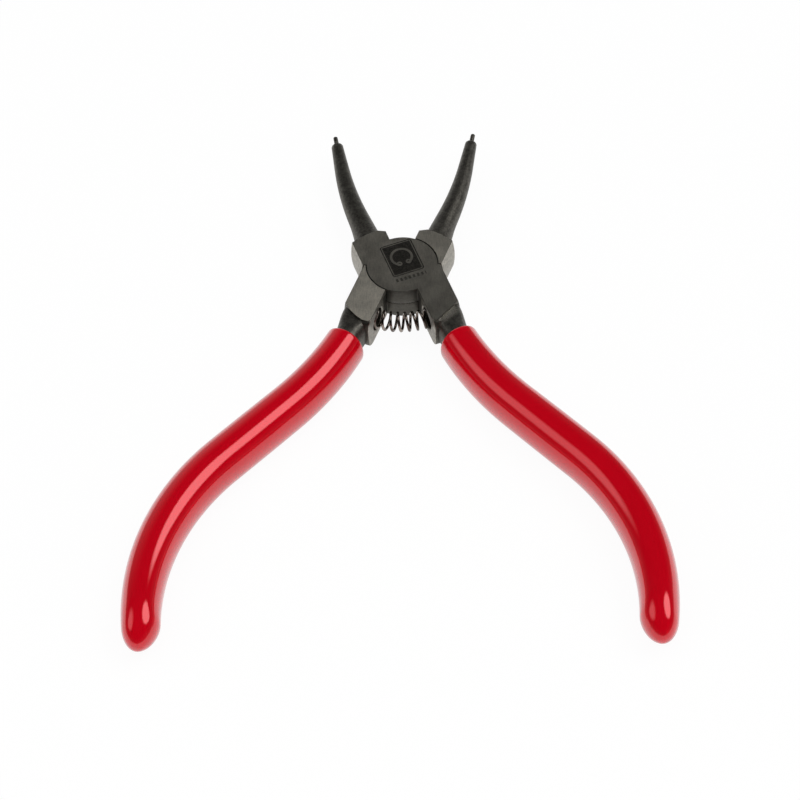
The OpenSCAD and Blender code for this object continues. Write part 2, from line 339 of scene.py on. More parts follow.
AS_UPPER = Matrix.Rotation(OPEN, 4, "Z")
TURNED_OVER = Matrix.Translation((0, 0, THICKNESS)) @ Matrix.Rotation(math.pi, 4, "Y")
AS_LOWER = Matrix.Rotation(-OPEN, 4, "Z") @ TURNED_OVER
TO_METRES = Matrix.Diagonal((MM, MM, MM, 1))


def piece(name, mesh, placing, finishes, body, node):
    """Finished piece from a mesh drawn in millimetres."""
    mesh = mesh.copy()
    mesh.name = name
    mesh.transform(TO_METRES @ placing)
    while len(mesh.materials) < len(finishes):
        mesh.materials.append(None)
    for i, finish in enumerate(finishes):
        mesh.materials[i] = finish
    mesh.polygons.foreach_set("use_smooth", [True] * len(mesh.polygons))
    mesh.set_sharp_from_angle(angle=SMOOTH_ANGLE)
    made = bpy.data.objects.new(name, mesh)
    bpy.context.scene.collection.objects.link(made)
    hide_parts(node)
    if body:
        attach(made, body)
    return made


class Wire:
    """Output of a shader node that takes part in plain arithmetic."""

    def __init__(self, nodes, socket):
        self.nodes, self.socket = nodes, socket

    def math(self, operation, *values):
        return self.nodes.add("ShaderNodeMath", {"operation": operation}, dict(enumerate(values)))

    def __add__(self, other):
        return self.math("ADD", self, other)

    def __sub__(self, other):
        return self.math("SUBTRACT", self, other)

    def __rsub__(self, other):
        return self.math("SUBTRACT", other, self)

    def __mul__(self, other):
        return self.math("MULTIPLY", self, other)

    __radd__ = __add__
    __rmul__ = __mul__

    def over(self, other):
        return self.math("GREATER_THAN", self, other)

    def either(self, other):
        return self.math("MAXIMUM", self, other)

    def size(self):
        return self.math("ABSOLUTE", self)

    def root(self):
        return self.math("SQRT", self)

    def fraction(self):
        return self.math("FRACT", self)

    def angle(self):
        return self.math("ARCCOSINE", self)

    def ramp(self, low, high):
        """Smooth step from 0 at low to 1 at high."""
        return self.nodes.add("ShaderNodeMapRange", {"interpolation_type": "SMOOTHSTEP"},
                              {"Value": self, "From Min": low, "From Max": high})


class Nodes:
    """Node tree of a material or of the world."""

    def __init__(self, owner):
        owner.use_nodes = True
        self.tree = owner.node_tree

    def add(self, kind, settings=None, values=None, output=0):
        node = self.tree.nodes.new(kind)
        for name, value in (settings or {}).items():
            setattr(node, name, value)
        for name, value in (values or {}).items():
            self.feed(node.inputs[name], value)
        return Wire(self, node.outputs[output])

    def feed(self, socket, value):
        if isinstance(value, Wire):
            self.tree.links.new(value.socket, socket)
        else:
            socket.default_value = value

    def mix(self, factor, first, second):
        return self.add("ShaderNodeMix", {"data_type": "RGBA"}, {0: factor, 6: first, 7: second}, 2)

    def noise(self, place, scale, detail=3.0, roughness=0.55):
        return self.add("ShaderNodeTexNoise", {},
                        {"Vector": place, "Scale": scale, "Detail": detail, "Roughness": roughness})

    def stretched(self, place, scale):
        return self.add("ShaderNodeMapping", {}, {"Vector": place, "Scale": scale})

    def place(self):
        return self.add("ShaderNodeTexCoord", output="Object")

    def axis(self, vector, index):
        return self.add("ShaderNodeSeparateXYZ", {}, {"Vector": vector}, index)

    def bump(self, height, depth):
        return self.add("ShaderNodeBump", {}, {"Height": height, "Distance": depth})


def surface(name, constants, varying):
    """Material whose shader takes constant sockets and varying wires made by a function of its nodes."""
    made = bpy.data.materials.new(name)
    nodes = Nodes(made)
    shader = nodes.tree.nodes["Principled BSDF"]
    for socket, value in constants.items():
        shader.inputs[socket].default_value = value
    for socket, wire in varying(nodes).items():
        nodes.feed(shader.inputs[socket], wire)
    return made


# Red and blue of the steels beside a green of 1
STEEL_RED = 1.056
STEEL_BLUE = 0.872

# Middle part of a noise that a finish spreads over its whole range
NOISE_SPAN = (0.3, 0.7)

# Etched panel on the front face, in the upper lever's parallel frame. Steps give the ends of soft edges.
PANEL_MIDDLE = (0.55, 1.55)
PANEL_SIZE = (6.6, 8.3)
PANEL_CORNER = 0.6
PANEL_SOFTNESS = 0.06
FRONT_DEPTH = 0.3
BORDER_PLACE = PANEL_CORNER * 0.45
BORDER_STEP = (0.14, 0.06)
RING_HEIGHT = 0.3
RING_RADIUS = 2.05
RING_STEP = (0.3, 0.2)
RING_GAP_STEP = (0.85, 0.75)
EYE_MIDDLE = (0.95, -1.25)
EYE_STEP = (0.62, 0.52)
EYE_HOLE_STEP = (0.18, 0.28)
EMBLEM_CLEARING = 0.6
TICKS_PER_MM = 1.15
TICK_SPACE = 0.45
TICK_MIDDLE = -5.15
TICK_ROW_STEP = (3.2, 3.1)
TICK_HEIGHT_STEP = (0.46, 0.36)
TICK_STRENGTH = 0.8

# Ground flats: spread of the tone, stretch of the painted light and shade along Y, and the etching's share of
# the tone
GROUND_SPREAD = 0.26
SHADED_FROM, SHADED_TO = -14 * MM, 9 * MM
ETCHED_TONE = 0.1

# Band of wear at the end of the front flat, as steps across and along it
WEAR_TONE = 0.62
WEAR_WIDTH_STEP = (2.2, 0.3)
WEAR_START_STEP = (0.6, 2.6)
WEAR_END_STEP = (6.6, 4.8)


def grey(level):
    """Warm grey of the steels."""
    return (level * STEEL_RED, level, level * STEEL_BLUE, 1)


def length(x, y):
    return (x * x + y * y).root()


def in_upper_lever(nodes, place, middle):
    """Place in millimetres from a point of the upper lever, in that lever's parallel frame."""
    local = nodes.add("ShaderNodeMapping", {}, {
        "Vector": place, "Scale": (1 / MM, 1 / MM, 1 / MM), "Rotation": (0, 0, -OPEN),
        "Location": (-middle[0], -middle[1], 0)})
    return [nodes.axis(local, index) for index in range(3)]


def etching(nodes, place):
    """Share of etching: a dark panel that spares a border and an open ring with two eyes, and ticks."""
    x, y, z = in_upper_lever(nodes, place, PANEL_MIDDLE)
    past_x = (x.size() - (PANEL_SIZE[0] / 2 - PANEL_CORNER)).either(0.0)
    past_y = (y.size() - (PANEL_SIZE[1] / 2 - PANEL_CORNER)).either(0.0)
    to_edge = length(past_x, past_y)
    panel = to_edge.ramp(PANEL_CORNER + PANEL_SOFTNESS, PANEL_CORNER - PANEL_SOFTNESS)
    border = (to_edge - BORDER_PLACE).size().ramp(*BORDER_STEP)
    ring = (length(x, y - RING_HEIGHT) - RING_RADIUS).size().ramp(*RING_STEP)
    gap = x.size().ramp(*RING_GAP_STEP) * (RING_HEIGHT - y).over(0.0)
    eye = length(x.size() - EYE_MIDDLE[0], y - EYE_MIDDLE[1])
    eyes = eye.ramp(*EYE_STEP) * eye.ramp(*EYE_HOLE_STEP)
    emblem = (ring * (1.0 - gap)).either(eyes).either(border)
    row = x.size().ramp(*TICK_ROW_STEP) * (y - TICK_MIDDLE).size().ramp(*TICK_HEIGHT_STEP)
    ticks = (x * TICKS_PER_MM).fraction().over(TICK_SPACE) * row
    front = z.over(THICKNESS - FRONT_DEPTH)
    return (panel * (1.0 - emblem * EMBLEM_CLEARING)).either(ticks * TICK_STRENGTH) * front


def ground_steel(name, tone, rough, painted_light_ends, marked=False):
    """Ground flats with fine grinding lines and painted light and shade along Y: the tone is scaled at the
    handles and at the jaws.
    """

    def varying(nodes):
        place = nodes.place()
        lines = nodes.noise(nodes.stretched(place, (4500, 700, 2500)), scale=1.0, detail=2.0)
        cloud = nodes.noise(place, scale=260.0, detail=4.0)
        speck = nodes.noise(place, scale=3800.0, detail=2.0)
        # Painted light and shade: the tone goes from its handle end to its jaw end along Y
        along = nodes.axis(place, 1).ramp(SHADED_FROM, SHADED_TO)
        shares = ((cloud, 0.4), (lines, 0.32), (speck, 0.28))
        clouded, lined, specked = (noise.ramp(*NOISE_SPAN) * share for noise, share in shares)
        dark, light = (nodes.mix(along, *(grey(tone * spread * end) for end in painted_light_ends))
                       for spread in (1 - GROUND_SPREAD, 1 + GROUND_SPREAD))
        colour = nodes.mix(clouded + lined + specked, dark, light)
        dull = rough + cloud * 0.16 + speck * 0.06
        height = lines * 0.6 + speck * 0.4
        if marked:
            etched = etching(nodes, place) * (0.7 + speck * 0.5)
            colour = nodes.mix(etched, colour, grey(tone * ETCHED_TONE))
            dull = dull + etched * 0.2
            height = height - etched * 1.2
        return {"Base Color": colour, "Roughness": dull, "Normal": nodes.bump(height, depth=0.000012)}

    return surface(name, {"Metallic": 1.0}, varying)


def wear_band(nodes, place):
    """Band of wear on the neck along the slanted end of the front flat."""
    x, y, z = in_upper_lever(nodes, place, (HANDLE_BLOCK, -FLAT_LENGTH))
    slope = Vector((FLAT_SLANT, INNER_FACE - HANDLE_BLOCK)).normalized()
    past = x * slope.x + y * slope.y
    along = x * slope.y - y * slope.x
    band = past.ramp(*WEAR_WIDTH_STEP) * along.ramp(*WEAR_START_STEP) * along.ramp(*WEAR_END_STEP)
    return band * z.over(HALF)


def forged_steel(name, tone, rough, depth, contrast, rubbed=False):
    """Grainy forging scale with faint clouds and, if rubbed, a bright band at the end of the front flat."""

    def varying(nodes):
        place = nodes.place()
        grain = nodes.noise(place, scale=4200.0, detail=4.0, roughness=0.65)
        mottle = nodes.noise(place, scale=1900.0, detail=3.0, roughness=0.6)
        cloud = nodes.noise(place, scale=700.0, detail=4.0, roughness=0.6)
        level = (cloud * 0.3 + mottle * 0.4 + grain * 0.3).ramp(0.38, 0.62)
        colour = nodes.mix(level, grey(tone * (1 - contrast)), grey(tone * (1 + contrast)))
        dull = rough + grain * 0.22
        if rubbed:
            wear = wear_band(nodes, place) * grain.ramp(0.2, 0.7)
            colour = nodes.mix(wear, colour, grey(WEAR_TONE))
            dull = dull + wear * 0.3
        height = grain * 0.6 + mottle * 0.4
        return {"Base Color": colour, "Roughness": dull, "Normal": nodes.bump(height, depth)}

    return surface(name, {"Metallic": 1.0}, varying)


def spring_wire(name):
    """Drawn wire with faint streaks and a brown tempering tint."""

    def varying(nodes):
        place = nodes.place()
        streak = nodes.noise(place, scale=2600.0)
        tint = nodes.noise(place, scale=500.0, detail=2.0)
        colour = nodes.mix(tint.ramp(0.35, 0.65), (0.11, 0.085, 0.07, 1), (0.36, 0.31, 0.27, 1))
        return {"Base Color": colour, "Roughness": 0.1 + streak * 0.12,
                "Normal": nodes.bump(streak, depth=0.000008)}

    return surface(name, {"Metallic": 1.0}, varying)


def red_vinyl(name):
    """Glossy dip coat: deep red with faint flow, soft waves and a clear skin."""

    def varying(nodes):
        place = nodes.place()
        flow = nodes.noise(place, scale=90.0)
        wave = nodes.noise(place, scale=140.0, detail=1.0)
        peel = nodes.noise(place, scale=1500.0, detail=2.0)
        dust = nodes.noise(place, scale=6500.0, detail=1.0).ramp(0.72, 0.82)
        colour = nodes.mix(flow, (0.48, 0.0002, 0.006, 1), (0.56, 0.0006, 0.010, 1))
        return {"Base Color": colour, "Roughness": 0.08 + peel * 0.05 + dust * 0.1,
                "Normal": nodes.bump(wave + peel * 0.03, depth=0.0001)}

    constants = {"IOR": 1.65, "Specular IOR Level": 1.0, "Specular Tint": (1, 0.02, 0.04, 1),
                 "Coat Weight": 1.0, "Coat Roughness": 0.06, "Coat IOR": 1.6}
    return surface(name, constants, varying)


# Painted light and shade on the flats: the front flats lighter towards the jaws, the rear flats lighter
# towards the handles
FRONT_STEEL = ground_steel("ground_flats_front", tone=0.38, rough=0.32, painted_light_ends=(0.88, 1.14), marked=True)
REAR_STEEL = ground_steel("ground_flats_rear", tone=0.52, rough=0.44, painted_light_ends=(1.25, 0.85))
WALL_STEEL = forged_steel("blackened_walls", tone=0.1, rough=0.3, depth=0.00002, contrast=0.15)
WORN_STEEL = forged_steel("worn_sides", tone=0.33, rough=0.3, depth=0.00004, contrast=0.3)
SCALE = {"tone": 0.12, "rough": 0.34, "depth": 0.00006, "contrast": 0.36}
BLACK_STEEL = forged_steel("black_forging", **SCALE)
RUBBED_STEEL = forged_steel("rubbed_forging", **SCALE, rubbed=True)
WIRE_STEEL = spring_wire("drawn_wire")
VINYL = red_vinyl("dipped_vinyl")


def jaw_at(distance):
    return walk(JAW_RUNS, distance, JAW_START, 0.0, 1)


def jaw_section(distance):
    """Round section of the jaw, flared at its root and drawn in at the nose."""
    radius = JAW_ROOT_RADIUS + (JAW_NOSE_RADIUS - JAW_ROOT_RADIUS) * distance / JAW_LENGTH
    flare = JAW_FLARE * max(0.0, 1 - distance / FLARE_LENGTH) ** FLARE_POWER
    into_nose = max(0.0, (distance - JAW_LENGTH + NOSE_ROUND) / NOSE_ROUND)
    radius = (radius + flare / 2) * (1 - NOSE_CLOSING * into_nose ** NOSE_POWER)
    return section(jaw_at(distance), 1, radius, radius, shift=-flare / 2)


def handle_at(distance):
    return walk(HANDLE_RUNS, distance, HANDLE_START, 0.0, -1)


def handle_section(distance, inset, end):
    """Section of the grip, or of the tang inside it, rounded off towards its end."""
    share = (distance - GRIP_START) / GRIP_LENGTH
    tapered = GRIP_WIDTH + (GRIP_END_WIDTH - GRIP_WIDTH) * share
    width = (tapered + GRIP_SWELL * math.sin(math.pi * share)) / 2
    height = GRIP_THICKNESS / 2 - END_THINNING * share ** 2
    closing, lowering = (math.sqrt(max(1 - max(0.0, (distance - end + run) / run) ** 2, END_FLAT))
                         for run in (END_ROUND, END_SLOPE))
    slant = END_SLANT * max(0.0, (distance - GRIP_END + SLANT_RUN) / SLANT_RUN) ** 2
    return section(handle_at(distance), -1, (width - inset) * closing, (height - inset) * lowering,
                   GRIP_SQUARENESS, slant=slant)


def on_arc(radius, first, last, count):
    return [(radius * math.cos(angle), radius * math.sin(angle)) for angle in spaced(first, last, count)]


def flat_corner(x):
    """How far back a flat reaches near the inner face, where its corner is rounded."""
    share = min(1.0, (x - INNER_FACE) / FLAT_CORNER)
    return CORNER_START - FLAT_CORNER * math.sqrt(max(0.0, share * (2 - share)))


def front_flat_end(x):
    """How far back the front flat reaches: a slanted end with the rounded corner."""
    slanted = -FLAT_LENGTH - FLAT_SLANT * (HANDLE_BLOCK - x) / (HANDLE_BLOCK - INNER_FACE)
    return max(slanted, flat_corner(x))


def back_flat_end(x):
    """How far back the rear flat reaches: an arc with the rounded corner."""
    across = x - BACK_ARC_MIDDLE[0]
    return max(BACK_ARC_MIDDLE[1] - math.sqrt(BACK_ARC_RADIUS ** 2 - across ** 2), flat_corner(x))


def joint_block():
    """Ground block of one lever: front disc with the jaw block and the handle block behind it."""
    disc_jaw = math.acos(-SHOULDER_FACE / DISC_RADIUS)
    hollow_jaw = math.acos(-SHOULDER_FACE / HOLLOW_RADIUS)
    disc_handle = -math.acos(INNER_FACE / DISC_RADIUS)
    hollow_handle = -math.acos(INNER_FACE / HOLLOW_RADIUS)
    crown_start = (-SHOULDER_EDGE[0], SHOULDER_HEIGHT + SHOULDER_EDGE[1])
    crown = []
    for share in spaced(0.0, 1.0, CROWN_STEPS):
        x = crown_start[0] + (-JAW_BLOCK - crown_start[0]) * share
        y = crown_start[1] + (JAW_BLOCK_CORNER - crown_start[1]) * share
        crown.append((x, y + JAW_END_SAG * 4 * share * (1 - share)))
    jaw_ledge = (-JAW_BLOCK, JAW_BLOCK * math.tan(LEDGE))
    handle_ledge = (HANDLE_BLOCK, -HANDLE_BLOCK * math.tan(LEDGE))
    slant = [(x, front_flat_end(x)) for x in eased(HANDLE_BLOCK, INNER_FACE, FLAT_END_STEPS)]
    lap = HALF + LAP_GAP / 2
    bm = bmesh.new()

    def corners(points):
        return [bm.verts.new((x, y, lap)) for x, y in points]

    disc_front = corners(on_arc(DISC_RADIUS, -LEDGE, disc_jaw, FRONT_ARC_STEPS))
    disc_back = corners(on_arc(DISC_RADIUS, math.pi - LEDGE, 2 * math.pi + disc_handle, BACK_ARC_STEPS))
    jaw_hollow = corners(on_arc(HOLLOW_RADIUS, hollow_jaw, math.pi - LEDGE, JAW_HOLLOW_STEPS))
    handle_hollow = corners(on_arc(HOLLOW_RADIUS, hollow_handle, -LEDGE, HANDLE_HOLLOW_STEPS))
    jaw_edge = corners([(-SHOULDER_FACE, SHOULDER_HEIGHT)] + crown + [jaw_ledge])
    handle_edge = corners([handle_ledge] + slant)
    disc = bm.faces.new(disc_front + jaw_hollow + disc_back + handle_hollow)
    jaw = bm.faces.new(jaw_edge + jaw_hollow[::-1])
    handle = bm.faces.new(handle_hollow[::-1] + handle_edge[::-1])
    raised = bmesh.ops.extrude_face_region(bm, geom=[disc, jaw, handle])["geom"]
    bmesh.ops.translate(bm, vec=(0, 0, THICKNESS - lap), verts=verts_of(raised))
    faces = [item for item in raised if isinstance(item, bmesh.types.BMFace)]
    bmesh.ops.dissolve_faces(bm, faces=faces)
    for part in (jaw, handle):
        lowered = bmesh.ops.extrude_face_region(bm, geom=[part])["geom"]
        bmesh.ops.translate(bm, vec=(0, 0, -lap), verts=verts_of(lowered))
    bmesh.ops.delete(bm, geom=[jaw, handle], context="FACES_ONLY")
    for share in spaced(0.0, 1.0, WALL_LEVELS)[1:-1]:
        for level in (lap * share, lap + (THICKNESS - lap) * share):
            everything = bm.verts[:] + bm.edges[:] + bm.faces[:]
            bmesh.ops.bisect_plane(bm, geom=everything, plane_co=(0, 0, level), plane_no=(0, 0, 1))
    shape_walls(bm)
    bmesh.ops.recalc_face_normals(bm, faces=bm.faces)
    return bm


def shape_walls(bm):
    """Crowns the outer walls, as a forging's draft does, and ends the back flat on an arc."""
    for vert in bm.verts:
        x, y, z = vert.co
        crowned = DRAFT_BULGE * (1 - (z / HALF - 1) ** 2)
        if y < TOUCH - FLAT_LENGTH and z < BACK_SLAB:
            vert.co.y = back_flat_end(x)
        if abs(x + JAW_BLOCK) < TOUCH:
            vert.co.x -= crowned
        elif abs(x - HANDLE_BLOCK) < TOUCH:
            vert.co.x += crowned


def neck_section(distance):
    """Section of the forged neck, which runs from the block's crowned side into the rounded tang."""
    x, y, heading = handle_at(max(distance, 0.0))
    y = HANDLE_START[1] - distance if distance < 0 else y
    share = min(1.0, max(0.0, (distance - NECK_BLEND) / (GRIP_START - NECK_BLEND)))
    ease = share * share * (3 - 2 * share)
    tang_width = GRIP_WIDTH / 2 - COAT - COAT_GAP
    tang_height = GRIP_THICKNESS / 2 - COAT - COAT_GAP
    crowned = HANDLE_BLOCK + DRAFT_BULGE - NECK_INSET - HANDLE_START[0]
    outer_width = crowned + (tang_width - crowned) * ease
    half_height = HALF - NECK_STEP + (tang_height - HALF + NECK_STEP) * ease
    squareness = NECK_SQUARENESS + (GRIP_SQUARENESS - NECK_SQUARENESS) * ease
    return section((x, y, heading), -1, outer_width, half_height, squareness, inner_width=tang_width)


def spring_boss():
    """Slab along the inner face that holds the spring's seat, with a rounded end."""
    bm = bmesh.new()
    outline = [(BOSS_START, HALF + BOSS_HEIGHT / 2), (BOSS_START, HALF - BOSS_HEIGHT / 2)]
    for turn in spaced(-math.pi / 2, math.pi / 2, BOSS_STEPS):
        outline.append((BOSS_TURN + (BOSS_END - BOSS_TURN) * superpower(math.cos(turn), BOSS_SQUARENESS),
                        HALF + BOSS_HEIGHT / 2 * superpower(math.sin(turn), BOSS_SQUARENESS)))
    face = bm.faces.new([bm.verts.new((BOSS_FACE, y, z)) for y, z in outline])
    rim = face.edges[:]
    raised = bmesh.ops.extrude_face_region(bm, geom=[face], use_keep_orig=True)["geom"]
    bmesh.ops.translate(bm, vec=(BOSS_THICKNESS, 0, 0), verts=verts_of(raised))
    bmesh.ops.bevel(bm, geom=rim, offset=BOSS_ROUND, offset_type="OFFSET", segments=3, profile=0.5,
                    affect="EDGES", clamp_overlap=True, material=-1)
    bmesh.ops.recalc_face_normals(bm, faces=bm.faces)
    return bm


def rivet_hole(covered):
    """Tool that cuts one lever's countersunk hole. A covered hole stops just under the ground face."""
    top = THICKNESS - RIVET_COVER if covered else THICKNESS
    narrow, wide = RIVET_RADIUS + RIVET_FIT, RIVET_HEAD_RADIUS + RIVET_FIT
    low, high = HALF - OVERCUT, top + OVERCUT
    profile = [(0, low), (narrow, low), (narrow, top - RIVET_HEAD_DEPTH - RIVET_FIT), (wide, top)]
    profile += [(0, top)] if covered else [(wide, high), (0, high)]
    return lathe(profile, RIVET_SIDES)


def rivet():
    """Countersunk rivet in millimetres, ground flush at the back and covered by the front lever's face."""
    top = THICKNESS - RIVET_COVER - RIVET_FIT
    profile = [(0, 0), (RIVET_HEAD_RADIUS, 0), (RIVET_RADIUS, RIVET_HEAD_DEPTH),
               (RIVET_RADIUS, top - RIVET_HEAD_DEPTH), (RIVET_HEAD_RADIUS, top), (0, top)]
    return lathe(profile, RIVET_SIDES)


def spring_seat():
    """Tool that cuts the blind hole for the spring's end, chamfered at the inner face."""
    mouth = SEAT_RADIUS + SEAT_CHAMFER
    bm = lathe([(0, -OVERCUT), (mouth, -OVERCUT), (mouth, 0.0), (SEAT_RADIUS, SEAT_CHAMFER),
                (SEAT_RADIUS, SEAT_DEPTH), (0, SEAT_DEPTH)], SEAT_SIDES)
    placing = Matrix.Translation((INNER_FACE, -SEAT_DISTANCE, HALF)) @ Matrix.Rotation(math.pi / 2, 4, "Y")
    bmesh.ops.transform(bm, verts=bm.verts, matrix=placing)
    return bm


def neck_and_tang():
    """Handle from inside the block to the end of the tang in the grip."""
    inside = stations(TANG_START, TANG_END - END_ROUND, TANG_END, TANG_STEPS, TANG_END_STEPS)
    sections = [neck_section(s) for s in spaced(NECK_START, GRIP_START, NECK_STEPS)]
    sections += [handle_section(s, COAT + COAT_GAP, TANG_END) for s in inside]
    return loft(sections, HANDLE_SIDES)


def jaw_rod():
    along = stations(0.0, JAW_LENGTH - NOSE_ROUND, JAW_LENGTH, JAW_STEPS, NOSE_STEPS)
    return loft([jaw_section(s) for s in along], JAW_SIDES)


def finish_walls(mesh):
    """Gives the block's walls and the face of the boss their own finishes and leaves the flats ground."""
    ground = [finish.name for finish in mesh.materials].index(FRONT_STEEL.name)
    wall = len(mesh.materials)
    worn = wall + 1
    mesh.materials.append(WALL_STEEL)
    mesh.materials.append(WORN_STEEL)
    for polygon in mesh.polygons:
        normal, middle = polygon.normal, polygon.center
        on_boss = BOSS_END < middle.y < BOSS_START and middle.x < BOSS_FACE + BOSS_ROUND
        boss = on_boss and normal.x < -BOSS_FACING
        if boss or polygon.material_index == ground and abs(normal.z) < FLAT_FACING:
            outside = abs(normal.x) > SIDE_FACING and abs(middle.x) > HANDLE_BLOCK - SIDE_DEPTH
            polygon.material_index = worn if boss or outside else wall


def forging(covered):
    """One lever in millimetres, levers parallel: ground joint block with the black jaw, neck and tang."""
    block = solid(joint_block(), FRONT_STEEL)
    round_edges(block, EDGE_ROUND, EDGE_ANGLE)
    combine(block, solid(rivet_hole(covered), FRONT_STEEL), "DIFFERENCE")
    combine(block, solid(spring_boss(), BLACK_STEEL), "UNION")
    combine(block, solid(neck_and_tang(), BLACK_STEEL), "UNION")
    combine(block, solid(spring_seat(), BLACK_STEEL), "DIFFERENCE")
    combine(block, solid(jaw_rod(), BLACK_STEEL), "UNION")
    finish_walls(block.data)
    return block


def grip():
    """Dipped sleeve in millimetres: inner skin, rolled lip, outer skin and a domed end."""
    bottom = TANG_END + COAT_GAP
    inside = stations(GRIP_START + LIP_INSIDE, TANG_END - END_ROUND, bottom, TANG_STEPS, TANG_END_STEPS)
    sections = [handle_section(s, COAT, bottom) for s in reversed(inside)]
    for turn in spaced(0.0, math.pi, LIP_STEPS):
        depth = COAT / 2 * (1 + math.cos(turn))
        sections.append(handle_section(GRIP_START + LIP_ROUND * (1 - math.sin(turn)), depth, GRIP_END))
    outside = stations(GRIP_START + LIP_OUTSIDE, GRIP_END - END_ROUND, GRIP_END, GRIP_STEPS, GRIP_END_STEPS)
    sections += [handle_section(s, 0.0, GRIP_END) for s in outside]
    return loft(sections, GRIP_SIDES)


def tip_pin():
    """Hardened pin on the nose, narrower at its root, in millimetres."""
    profile = [(0, -SHANK_LENGTH), (SHANK_END_RADIUS, -SHANK_LENGTH), (PIN_NECK_RADIUS, 0.0),
               (PIN_NECK_RADIUS, PIN_NECK / 2), (PIN_RADIUS - PIN_SHOULDER[0], PIN_NECK),
               (PIN_RADIUS, PIN_NECK + PIN_SHOULDER[1]), (PIN_RADIUS, PIN_LENGTH - PIN_CHAMFER),
               (PIN_RADIUS - PIN_CROWN[0], PIN_LENGTH - PIN_CROWN[1]),
               (PIN_RADIUS - PIN_CHAMFER, PIN_LENGTH), (0, PIN_LENGTH)]
    bm = lathe(profile, PIN_SIDES)
    x, y, heading = jaw_at(JAW_LENGTH)
    aim = Matrix.Rotation(-heading, 4, "Z") @ Matrix.Rotation(-math.pi / 2, 4, "X")
    bmesh.ops.transform(bm, verts=bm.verts, matrix=Matrix.Translation((x, y, HALF)) @ aim)
    return bm


# Line of the spring with the levers open: straight in each seat and an arc between them
HALF_CHORD = INNER_FACE * math.cos(OPEN) + SEAT_DISTANCE * math.sin(OPEN)
CHORD_Y = INNER_FACE * math.sin(OPEN) - SEAT_DISTANCE * math.cos(OPEN)
BOW = HALF_CHORD / math.sin(OPEN) * 2 * OPEN
SPRING_START = (-HALF_CHORD - SEATED * math.cos(OPEN), CHORD_Y + SEATED * math.sin(OPEN))
SPRING_RUNS = ((SEATED, 0.0), (BOW, math.degrees(2 * OPEN)), (SPRING_TAIL, 0.0))
SPRING_LINE = BOW + 2 * SEATED


def advance(turns):
    """Distance along the spring's line after a number of turns, with one closed turn at each end."""
    room = SPRING_LINE - 2 * WIRE_RADIUS
    pitch = (room - 2 * END_PITCH) / (SPRING_TURNS - 2)
    if turns < 1:
        return WIRE_RADIUS + turns * END_PITCH
    if turns < SPRING_TURNS - 1:
        return WIRE_RADIUS + END_PITCH + (turns - 1) * pitch
    return WIRE_RADIUS + room - (SPRING_TURNS - turns) * END_PITCH


def wire_section(turns):
    """Round section of the wire after a number of turns."""
    x, y, heading = walk(SPRING_RUNS, advance(turns), SPRING_START, math.pi / 2 - OPEN, -1)
    turn = 2 * math.pi * (turns + SPRING_PHASE)

    def place(out, along):
        radius = COIL_RADIUS + WIRE_RADIUS * out
        side = radius * math.cos(turn)
        return Vector((x + side * math.cos(heading) + WIRE_RADIUS * along * math.sin(heading),
                       y + side * math.sin(heading) - WIRE_RADIUS * along * math.cos(heading),
                       HALF + radius * math.sin(turn)))

    return place


# Levers and rivet: the front lever covers the rivet, and the rear one shows its ground end
for name, placing, body, covered, usual, own in (
    ("upper_lever", AS_UPPER, "upper_half", True, BLACK_STEEL, RUBBED_STEEL),
    ("lower_lever", AS_LOWER, "lower_half", False, FRONT_STEEL, REAR_STEEL),
):
    block = forging(covered)
    finishes = [own if finish == usual else finish for finish in block.data.materials]
    lever = piece(name + "_forging", block.data, placing, finishes, body, name)
    even = lever.modifiers.new("even_normals", "WEIGHTED_NORMAL")
    even.keep_sharp = True
    bpy.data.objects.remove(block)
piece("rivet", as_mesh(rivet()), Matrix(), [FRONT_STEEL], "lower_half", "pivot_rivet")

# Grips and tip pins
sleeve = as_mesh(grip())
piece("right_grip_sleeve", sleeve, AS_UPPER, [VINYL], "upper_half", "right_grip")
piece("left_grip_sleeve", sleeve, AS_LOWER, [VINYL], "lower_half", "left_grip")
pin = as_mesh(tip_pin())
piece("left_pin", pin, AS_UPPER, [BLACK_STEEL], "upper_half", "left_tip_pin")
piece("right_pin", pin, AS_LOWER, [BLACK_STEEL], "lower_half", "right_tip_pin")

# Spring, which bends between the two levers
turns = spaced(0.0, SPRING_TURNS, SPRING_TURNS * STEPS_PER_TURN)
coil = as_mesh(loft([wire_section(turn) for turn in turns], WIRE_SIDES))
spring = piece("coil_spring", coil, Matrix(), [WIRE_STEEL], None, "return_spring")
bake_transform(spring)

# Camera, from the photograph
CAMERA_AZIMUTH = math.radians(3.407)
CAMERA_ELEVATION = math.radians(52.303)
CAMERA_ROLL = math.radians(-3.722)
CAMERA_DISTANCE = 0.636
CAMERA_TARGET = Vector((-0.000474, -0.027944, 0.0))
FOCAL_PIXELS = 3287.9
IMAGE_PIXELS = 800
SENSOR_WIDTH = 36.0

back = Vector((math.sin(CAMERA_AZIMUTH) * math.cos(CAMERA_ELEVATION),
               -math.cos(CAMERA_AZIMUTH) * math.cos(CAMERA_ELEVATION), math.sin(CAMERA_ELEVATION)))
level = Vector((math.cos(CAMERA_AZIMUTH), math.sin(CAMERA_AZIMUTH), 0))
upward = back.cross(level)
right = level * math.cos(CAMERA_ROLL) + upward * math.sin(CAMERA_ROLL)
up = back.cross(right)
lens = bpy.data.cameras.new("camera")
lens.sensor_width = SENSOR_WIDTH
lens.lens = FOCAL_PIXELS * SENSOR_WIDTH / IMAGE_PIXELS
camera = bpy.data.objects.new("camera", lens)
turned = Matrix((right, up, back)).transposed().to_4x4()
camera.matrix_world = Matrix.Translation(CAMERA_TARGET + back * CAMERA_DISTANCE) @ turned
bpy.context.scene.collection.objects.link(camera)
bpy.context.scene.camera = camera

